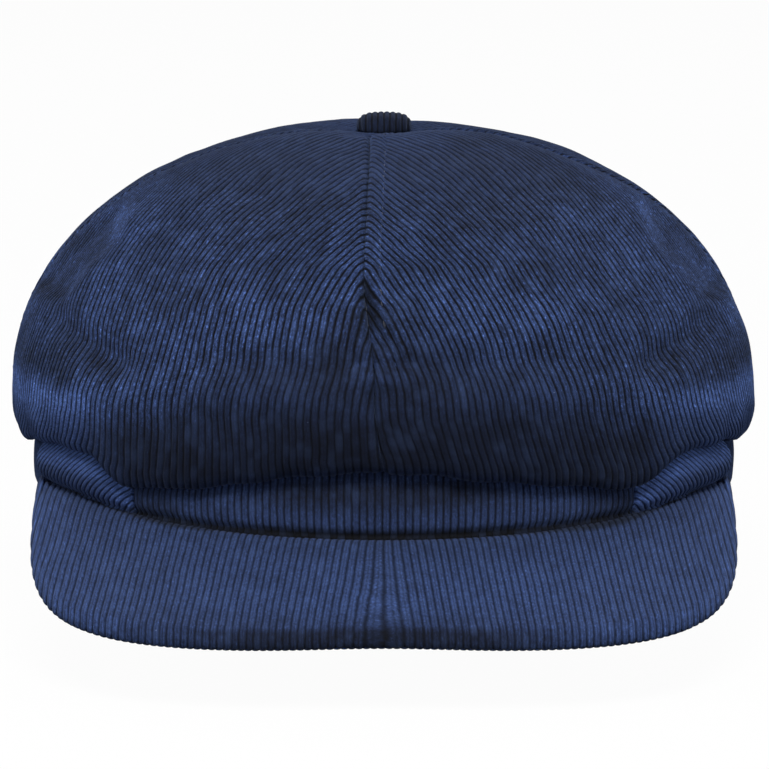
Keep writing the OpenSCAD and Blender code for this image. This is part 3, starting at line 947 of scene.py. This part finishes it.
# ---------------------------------------------------------------- the band
def front_band_painted_shading(turn, z, foot):
    """Painted shade where the band tucks in above the visor, high up under the overhang and low
    near the corners; painted light in a line just under the overhang, above the corners and
    on the side strips; by distance from the front (degrees).
    """
    side = rise(turn, CORNER, 4)
    depth = mix(mix(0.97, 0.90, rise(turn, 18, 6)), 0.45, side)
    tuck = foot + 2.8 - 0.8 * rise(turn, 16, 8) - 0.7 * side
    painted_shading = 1 - depth * rise(z, tuck, -1.6)
    painted_shading = painted_shading * mix(0.80, mix(0.25, 0.72, rise(turn, 11, 13)), rise(z, 5.0, 7.5))
    by_corner = rise(turn, 30, 5) * (turn < CORNER)
    painted_shading = painted_shading * (1 + 0.4 * by_corner * rise(z, 10.5, 2))
    painted_shading = painted_shading * (1 - 0.36 * by_corner * rise(z, 11.5, -4))
    # painted light: a lighter line under the overhang, strongest in the middle
    line = rise(z, mix(15.0, 11.0, rise(turn, 12, 10)), 1.8)
    painted_shading = painted_shading * (1 + (1.9 - 1.3 * rise(turn, 12, 6)) * line)
    # painted light on the side strips beyond the corners
    return painted_shading * np.where(turn > CORNER, 1.85 + hump(turn, CORNER, 5), 1.0)


def band_strip(where, start, end, bulge, phase, slope=0, corner_bulge=0.0, front=True):
    """A strip of the outer band, from its top edge behind the overhang, down its face and
    round its lower edge. bulge and corner_bulge are in mm; slope slants the wales."""
    columns = max(int((end - start) * 1.2), 40)
    azimuths = np.linspace(start + 0.08, end - 0.08, columns)
    arc = arc_length(at(azimuths, band_plan(azimuths), 0))
    arc = arc - arc[-1] / 2
    face_rows = 22
    heights = np.concatenate([np.linspace(BAND_TOP, 1.1, face_rows), [0.62, 0.28, 0.07, 0.0]])
    inwards = np.concatenate([np.zeros(face_rows), [0.14, 0.38, 0.7, 0.95]])
    angle, z = np.meshgrid(azimuths, heights)
    inwards = np.repeat(inwards[:, None], columns, 1)
    turn = np.abs(wrap(angle))
    low_z = lower_edge(angle)
    to_end = np.minimum(angle - start, end - angle)
    ends = rise(angle, start, 2.2) * rise(angle, end, -2.2)
    foot = visor_seam_z(turn) + 1.0 - 0.3 * rise(turn, CORNER, 3) if front else 0.0
    tall = np.maximum(low_z + 0.6, foot + 3)
    climb = np.clip((z - foot) / (tall - foot), 0, 1)
    swell = np.where(z < tall, np.sin(math.pi * climb) ** 0.75, 0.0)
    base = at(angle, band_plan(angle), z)
    out = (bulge + corner_bulge * rise(turn, CORNER, 8)) * swell * mix(0.5, 1.0, ends)
    out = out + 0.22 * noise(base, 9, 3) * swell
    if front:
        out = out - 0.95 * rise(z, foot + 2.8, -2.2) * rise(z, foot - 0.6, 0.7)
        painted_shading = front_band_painted_shading(turn, z, foot)
    else:
        out = out - 0.7 * rise(z, 3.2, -3)
        # painted shade low down, where the rear band rolls under
        painted_shading = 1 - 0.3 * rise(z, 2, -2)
    out = np.where(z > low_z + 1.5, np.minimum(out, -0.25), out)
    out = out - 0.45 * (1 - rise(to_end, 0, 0.5)) - 0.12
    grid = at(angle, band_plan(angle) + out - inwards, z)
    across = arc[None, :] - slope * z
    if slope:  # the wales climb towards the front, and lie closer together
        across = across * math.sin(math.atan(1 / abs(slope))) * 1.4
    along = np.repeat((BAND_TOP - heights)[:, None], columns, 1)
    height = 0.36 * (1 - rise(z, low_z + 0.5, 2.5)) * rise(to_end, 0, 0.7)
    height = height * np.where(inwards > 0.5, 0.5, 1.0)
    in_angle, in_z = np.meshgrid(azimuths[coarse(columns, 3)],
                                 np.array([BAND_TOP, 18, 12, 6, 1.6, 0.5]))
    thick = np.where(in_z < 1, 1.25, 1.45)
    inner = at(in_angle, band_plan(in_angle) - thick, in_z)
    painted_shading = painted_shading * (1 + 0.10 * noise(base, 12, 8))
    make("outer_band_" + where, *ribbed(grid, across + phase, along, height, inner, painted_shading),
         "band_corduroy", blend=front)


band_strip("front", -CORNER, CORNER, bulge=1.5, phase=0.4)
band_strip("side_left", CORNER, TEMPLE, bulge=2.9, phase=0.9, slope=-1.35, corner_bulge=1.5)
band_strip("side_right", -TEMPLE, -CORNER, bulge=2.9, phase=0.2, slope=1.35, corner_bulge=1.5)
band_strip("rear", TEMPLE, 360 - TEMPLE, bulge=0.9, phase=0.0, front=False)


def interfacing_section(azimuths):
    turn = np.linspace(0, 2 * math.pi, 33)[:-1]
    depth = 2.6 + 0.52 * bow(np.cos(turn), 0.4)
    z = 11.5 + 10.4 * bow(np.sin(turn), 0.25)
    wave = 0.06 * np.sin(np.radians(azimuths) * 37)
    return np.stack([depth[:, None] + wave[None, :],
                     np.repeat(z[:, None], len(azimuths), 1)], -1)


def sweatband_section(azimuths):
    """Padded tape: flat against the band, fuller towards the head, pinched near both edges."""
    turn = np.linspace(0, 2 * math.pi, 73)[:-1]
    depth = (5.5 + 1.75 * bow(np.cos(turn), 0.55))[:, None]
    z = (15 + 14.8 * bow(np.sin(turn), 0.35))[:, None]
    inner = (np.clip(np.cos(turn), 0, 1) ** 0.3)[:, None]
    base = at(azimuths[None, :], 99, z)
    puff = 0.35 * np.sin(math.pi * np.clip(z / 30, 0, 1))
    puff = puff + 0.16 * noise(base, 12, 2) + 0.08 * noise(base, 5, 4)
    pinch = -0.75 * hump(z, 3.5, 0.8) - 0.4 * hump(z, 26.2, 0.6)
    return np.stack([depth + (puff + pinch) * inner, np.repeat(z, len(azimuths), 1)], -1)


def loop_strip(name, start, end, section, step, slot, blend):
    """A strip swept round the band. section gives (distance inside the band's face, z)."""
    columns = max(int((end - start) / step), 8)
    azimuths = np.linspace(start + 0.08, end - 0.08, columns)
    outline = section(azimuths)
    angle = azimuths[None, :]
    grid = at(angle, band_plan(angle, outline[..., 0]), outline[..., 1])
    around = arc_length(outline[:, 0])[:, None]
    cloth = np.stack(np.broadcast_arrays(np.radians(angle) * 100, around), -1)
    make(name, *tube(grid, cloth), slot, blend=blend, recalc=True)


for kind, section, step, slot in (
        ("band_interfacing", interfacing_section, 1.5, "interfacing"),
        ("sweatband", sweatband_section, 0.8, "sweatband_twill")):
    loop_strip(kind + "_front", -TEMPLE, TEMPLE, section, step, slot, blend=True)
    loop_strip(kind + "_rear", TEMPLE, 360 - TEMPLE, section, step, slot, blend=False)


def sweatband_stitching():
    count, depth, z = 112, 7.25 - 0.62, 3.5
    segments = {"front": [], "rear": []}
    for i in range(count):
        start, end = 360 * (i + 0.14) / count, 360 * (i + 0.80) / count
        middle = wrap((start + end) / 2)
        segments["front" if abs(middle) < TEMPLE else "rear"].append(
            (at(start, band_plan(start, depth), z), at(end, band_plan(end, depth), z),
             -at(middle, 1.0, 0.0)))
    for where, found in segments.items():
        make("sweatband_stitching_" + where, *stitches(found), "grey_thread",
             replaces="sweatband_stitching", blend=where == "front")


sweatband_stitching()

# ---------------------------------------------------------------- the visor
# The outer edge is a superellipse; turn runs from -90 to 90 across the visor.
VISOR_SIDE, VISOR_REACH, VISOR_Y, VISOR_POWER = 98.0, 128.0, -30.0, 3.4


def visor_inner_edge(turn):
    angle = 70 * turn / 90
    return at(angle, band_plan(angle) + 0.15, visor_seam_z(angle))


def visor_outer_edge(turn):
    reach = ((np.abs(sind(turn)) / VISOR_SIDE) ** VISOR_POWER
             + (np.abs(cosd(turn)) / VISOR_REACH) ** VISOR_POWER) ** (-1 / VISOR_POWER)
    x, forward = reach * sind(turn), reach * cosd(turn)
    drop = 1 - np.maximum(1 - np.minimum(forward / VISOR_REACH, 1), 0) ** 1.8
    return np.stack([x, VISOR_Y - forward, 3.5 - 22.3 * drop + 0.9 * hump(x, 0, 26)], -1)


def visor_rays(turn):
    """Inner edge points, and the length and direction from each to the outer edge."""
    inner = visor_inner_edge(turn)
    ray = visor_outer_edge(turn) - inner
    length = np.linalg.norm(ray, axis=1)
    return inner, length, ray / length[:, None]


VISOR_TURN = 90 * np.sin(np.radians(np.linspace(-90, 90, 901)))
VISOR_INNER, VISOR_LENGTH, VISOR_RAY = visor_rays(VISOR_TURN)
FLAT_PARTS = np.linspace(0, 1, 44) ** 1.15  # rows across the flat of a cover


def visor_rows(rolls, side, start, sewn_half):
    """Rows of a cover: across the visor from its sewn edge, then round its outer edge.
    side is 1 above, -1 below; sewn_half is half the thickness at the sewn edge."""
    rows, lengths = [], []
    run = VISOR_LENGTH - VISOR_HALF
    centre = len(VISOR_TURN) // 2
    for part in FLAT_PARTS:
        dist = start + (run - start) * part
        base = VISOR_INNER + VISOR_RAY * dist[:, None]
        thin = np.exp(-(np.maximum(dist, 0) / (4.4 if side > 0 else 3.6)) ** 1.25)
        half = VISOR_HALF - (VISOR_HALF - sewn_half) * thin
        puff = 0.3 * np.sin(math.pi * np.clip(dist / np.maximum(run, 3), 0, 1))
        half = half + puff * rise(VISOR_LENGTH, 0, 25)
        fade = 1 - part ** 6
        half = half + 0.28 * noise(base, 24, 6) * rise(dist, 0, 6) * fade
        half = half + 0.10 * noise(base, 8, 2) * rise(dist, 0, 4) * fade
        rows.append(base + np.array([0, 0, 1.0]) * (side * half)[:, None])
        lengths.append(dist[centre])
    for roll in np.radians(rolls):
        base = VISOR_INNER + VISOR_RAY * (run + VISOR_HALF * math.sin(roll))[:, None]
        rows.append(base + np.array([0, 0, side * VISOR_HALF * math.cos(roll)]))
        lengths.append(run[centre] + VISOR_HALF * roll)
    return np.array(rows), np.array(lengths)


def visor_top_painted_shading(grid, along, rolls):
    """Painted shade along the sewn edge and over the middle of the bent outer edge, painted
    light on the bend to each side and at the ends.
    """
    x = grid[0, :, 0]
    far = hump(np.abs(x), 55, 15)[None, :]
    more = (3.4 * hump(x, 62, 14) + 1.2 * hump(x, -60, 12))[None, :]
    painted_shading = 1 - 0.80 * (1 - rise(along, 1.2 + 2.2 * far + more, 2.6 + 1.2 * far))
    painted_shading = painted_shading * (0.74 + 0.26 * rise(along, 2, 34))
    bend = np.concatenate([0.35 * rise(FLAT_PARTS, 0.8, 0.2),
                           0.35 + 0.65 * rise(np.array(rolls), 0, 50.0)])
    middle = mix(0.80, -0.15, rise(np.abs(VISOR_TURN + 2), 9, 32))
    painted_shading = painted_shading * (1 - bend[:, None] * middle[None, :])
    return painted_shading * (1 + 0.10 * rise(np.abs(grid[..., 0]), 78, 16))


def visor_cover(name, side, rolls, slot, sewn_half, start, phase, roll_height=1.0):
    grid, lengths = visor_rows(rolls, side, start, sewn_half)
    rows, columns = grid.shape[:2]
    along = np.repeat(lengths[:, None], columns, 1)
    if side > 0:  # the wales fan out towards the front edge
        x, y = grid[..., 0], grid[..., 1]
        across = 1.05 * x - 0.095 * (-y - 100) * np.tanh(x / 7)
        # painted light and shade of the top cover
        painted_shading = visor_top_painted_shading(grid, along, rolls)
    else:  # underneath they lie straight
        grid = grid[:, ::-1]
        across = -1.05 * grid[..., 0]
        painted_shading = 1
    across = across + phase + 0.22 * noise(grid, 16, 14)
    painted_shading = painted_shading * (1 + 0.07 * noise(grid, 17, 15) + 0.04 * noise(grid, 7, 16))
    ends = np.minimum(across - across[:, :1], across[:, -1:] - across)
    height = 0.40 * rise(np.arange(rows), 0, 6)[:, None] ** 0.5 * rise(ends, 0, 0.8)
    height[len(FLAT_PARTS):] *= roll_height
    inner = (grid - normals(grid) * 1.2)[np.ix_(coarse(rows, 4), coarse(columns, 12))]
    edge_x = visor_outer_edge(np.arange(30, 90, 2.5))[:, 0]
    extra = np.concatenate([edge_x, -edge_x]) + phase
    make(name, *ribbed(grid, increasing(across), along, height, inner, painted_shading, extra), slot,
         body="visor")


visor_cover("visor_top_cover", 1, [15, 30, 45, 60, 75, 90, 103, 116, 128], "visor_corduroy",
            sewn_half=0.2, start=-0.8, phase=0.0)
visor_cover("visor_under_cover", -1, [10, 20, 30, 40, 48], "visor_under_corduroy",
            sewn_half=2.2, start=0.0, phase=0.5, roll_height=0.6)


def visor_layer(name, low, high, start):
    """A flat layer between two heights, from start mm outside the sewn edge."""
    inner, length, ray = visor_rays(84 * np.sin(np.radians(np.linspace(-90, 90, 121))))
    end = np.maximum(length - VISOR_HALF - 0.4, start + 0.6)

    def layer(height, rim):
        base = np.array([inner + ray * mix(start, end, part)[:, None]
                         for part in np.linspace(0, 1, 18)])
        lift = height + 0.05 * noise(base, 11, 3)
        lift[[0, -1]] += rim  # soften the rim
        base[..., 2] += lift
        return base
    top, bottom = layer(high, -0.15), layer(low, 0.15)
    make(name, *plain_shell(top, bottom, top[..., :2]), name.removesuffix("_pad"), body="visor")


visor_layer("visor_foam_pad", 0.15, 1.05, start=7.0)
visor_layer("visor_board", -1.2, -0.15, start=2.4)


# ---------------------------------------------------------------- the button
# Radius and height of the cover's outline, from the middle of its top to its lower rim.
BUTTON_OUTLINE = np.array([
    (0.02, 5.80), (1.6, 5.78), (3.2, 5.68), (4.6, 5.48), (5.7, 5.15), (6.6, 4.68), (7.25, 4.1),
    (7.7, 3.4), (7.93, 2.6), (7.98, 1.8), (7.85, 1.0), (7.4, 0.35), (6.6, 0.0)])
BUTTON_WALE = 1.72


def button_cover():
    """A flat dome with wales from front to back, drawn in under its rim."""
    base_z = CROWN_TOP - 1.75
    run = arc_length(BUTTON_OUTLINE)
    down = np.linspace(0, run[-1], 46)
    azimuths = np.linspace(0, 360, 193)[:-1]
    angle, radius = np.meshgrid(azimuths, np.interp(down, run, BUTTON_OUTLINE[:, 0]))
    rows, columns = angle.shape
    z = np.repeat(np.interp(down, run, BUTTON_OUTLINE[:, 1])[:, None], columns, 1)
    grid = at(angle, radius, base_z + z)
    normal = normals(np.concatenate([grid[:, -1:], grid, grid[:, :1]], 1))[:, 1:-1]
    normal[0] = (0, 0, 1)
    above_rim = rise(down, down[-1], -3.0)[:, None]
    steep = np.clip(np.abs(normal[..., 0]), 0, 1)
    out = 0.40 * rib(grid[..., 0] / BUTTON_WALE * WALE) * above_rim * (1 - 0.7 * steep ** 3)
    out = out - 0.25 + 0.10 * noise(grid, 3.5, 3) + 0.22 * noise(grid, 8, 5) * above_rim
    pleat = 0.22 * np.sin(np.radians(angle) * 22 + 2 * noise(grid, 4, 2))
    pleat = pleat * rise(down[:, None], down[-1] * 0.72, 2.5)
    grid = grid + normal * (out + pleat * above_rim)[..., None]
    inner = at(angle, np.maximum(radius - 1.1, 0.02), base_z + np.maximum(z - 1.1, 0.05))
    inner = inner[[0, 12, 20, 26, 30, 34, 38, 42, 45]]
    inner[-1] = at(azimuths, 6.55, base_z + 0.08)
    ids = np.arange((rows + len(inner)) * columns).reshape(-1, columns)
    out_ids, in_ids = closed(ids[:rows]), closed(ids[rows:])
    faces = quads(out_ids).tolist() + [ids[0]]
    faces += quads(in_ids)[:, ::-1].tolist() + [ids[rows][::-1]]
    faces += quads(np.stack([out_ids[-1], in_ids[-1]])).tolist()
    verts = np.concatenate([grid.reshape(-1, 3), inner.reshape(-1, 3)])
    wale = unshaded(verts[:, :2] * [WALE / BUTTON_WALE, 1])
    make("button_cover", verts, faces, wale, "button_corduroy", recalc=True)


button_cover()
for name in ("button_shell", "button_back_plate", "button_washer"):
    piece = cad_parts[name]
    piece.data.materials.clear()
    piece.data.materials.append(MATERIALS["button_steel"])


# ---------------------------------------------------------------- the labels
def label(name, place, width, height, curl):
    """A blank woven label, with sides that curl a little and a raised line near each end."""
    across, rise_up = np.meshgrid(np.linspace(-0.5, 0.5, 30), np.linspace(1, 0, 22))
    x, z = across * width, rise_up * height
    off = curl * rise_up ** 2 * (0.6 + 0.4 * np.cos(across * 2.4))
    off = off + 0.10 * np.sin(across * 9 + 2 * rise_up) + 0.25 * hump(np.abs(across), 0.5, 0.06)
    hem = 0.12 * (hump(rise_up, 0.94, 0.02) + hump(rise_up, 0.06, 0.02))
    shell = plain_shell(place(x, z, off + 0.2 + hem), place(x, z, off - 0.2),
                        np.stack([x, z], -1))
    make(name, *shell, "label_tape", recalc=True)


def size_label_place(x, z, off):
    """At the middle of the back."""
    return np.stack([x, band_plan(180 - np.degrees(x / 99), 8.15 + off), 8.2 + z], -1)


def care_label_place(x, z, off):
    """On the wearer's left."""
    angle = 90 + np.degrees(x / 91.5)
    return at(angle, band_plan(angle, 7.2 + off), 30.9 + z)


label("size_label", size_label_place, width=15.6, height=13.4, curl=0.7)
label("care_label", care_label_place, width=27.4, height=19.0, curl=1.4)


# ---------------------------------------------------------------- studio, in metres
def add_floor():
    """A floor the camera sees as almost pure white."""
    half, z = 12.0, -0.0392
    mesh = bpy.data.meshes.new("floor")
    mesh.from_pydata([(-half, -half, z), (half, -half, z), (half, half, z), (-half, half, z)],
                     [], [(0, 1, 2, 3)])
    floor = add_object("floor", mesh)
    net = new_material("studio_floor")
    seen = net.node("ShaderNodeLightPath").outputs["Is Camera Ray"]
    diffuse = net.node("ShaderNodeBsdfDiffuse", {"Color": (0.9, 0.9, 0.9, 1)}).outputs[0]
    glow = net.node("ShaderNodeEmission", {"Color": (1, 1, 1, 1), "Strength": 1.0}).outputs[0]
    mixed = net.node("ShaderNodeMixShader", {0: net.mul(seen, 0.965), 1: diffuse, 2: glow})
    net.output("ShaderNodeOutputMaterial", mixed.outputs[0])
    mesh.materials.append(net.owner)
    floor.visible_diffuse = False
    floor.visible_glossy = False


def add_world():
    """White to the camera; to everything else a dim sky that brightens upwards."""
    world = bpy.data.worlds.new("studio")
    bpy.context.scene.world = world
    net = Nodes(world)
    z = net.separate(net.node("ShaderNodeTexCoord").outputs["Generated"])["Z"]
    sky = net.ramp(z, -0.15, 0.9, low=0.02, high=0.09, kind="LINEAR")
    seen = net.node("ShaderNodeLightPath").outputs["Is Camera Ray"]
    strength = net.node("ShaderNodeMix", {0: seen, 2: sky, 3: 1.0}, data_type="FLOAT").outputs[0]
    background = net.node("ShaderNodeBackground", {"Color": (1, 1, 1, 1), "Strength": strength})
    net.output("ShaderNodeOutputWorld", background.outputs[0])


# Name, place, target, size, watts.
LIGHTS = [
    ("key", (0.0, -1.45, 1.25), (0, -0.03, 0.04), (0.8, 0.5), 36),
    ("fill", (0.0, -1.95, 0.06), (0, 0, 0.02), (1.3, 0.3), 7),
    ("back_left", (-1.2, 1.6, 1.2), (0, 0, 0.04), (0.9, 0.7), 8),
    ("back_right", (1.2, 1.6, 1.2), (0, 0, 0.04), (0.9, 0.7), 8),
    ("left", (-1.35, -0.85, 0.55), (0, 0, 0.05), (0.4, 0.8), 6.5),
    ("right", (1.35, -0.85, 0.55), (0, 0, 0.05), (0.4, 0.8), 6.5),
]


def add_light(name, place, target, size, watts):
    light = bpy.data.lights.new(name, "AREA")
    light.shape = "RECTANGLE"
    light.size, light.size_y = size
    light.energy = watts
    light.spread = math.pi
    lamp = add_object(name, light)
    lamp.location = place
    lamp.rotation_mode = "QUATERNION"
    aim = Vector(target) - Vector(place)
    lamp.rotation_quaternion = aim.to_track_quat("-Z", "Y")


def add_camera():
    """Straight in front, a little above the horizon."""
    elevation, distance, target_z = math.radians(7.5), 1.8, 0.045
    camera = bpy.data.cameras.new("camera")
    viewer = add_object("camera", camera)
    viewer.location = (0, -distance * math.cos(elevation),
                       target_z + distance * math.sin(elevation))
    viewer.rotation_euler = (math.pi / 2 - elevation, 0, 0)
    camera.sensor_width = 36.0
    camera.lens = 294.085826
    camera.shift_x, camera.shift_y = 0.0007, -0.0763328999
    camera.clip_start, camera.clip_end = 0.05, 60
    bpy.context.scene.camera = viewer


add_floor()
add_world()
for light_row in LIGHTS:
    add_light(*light_row)
add_camera()
bpy.context.scene.view_settings.view_transform = "Standard"
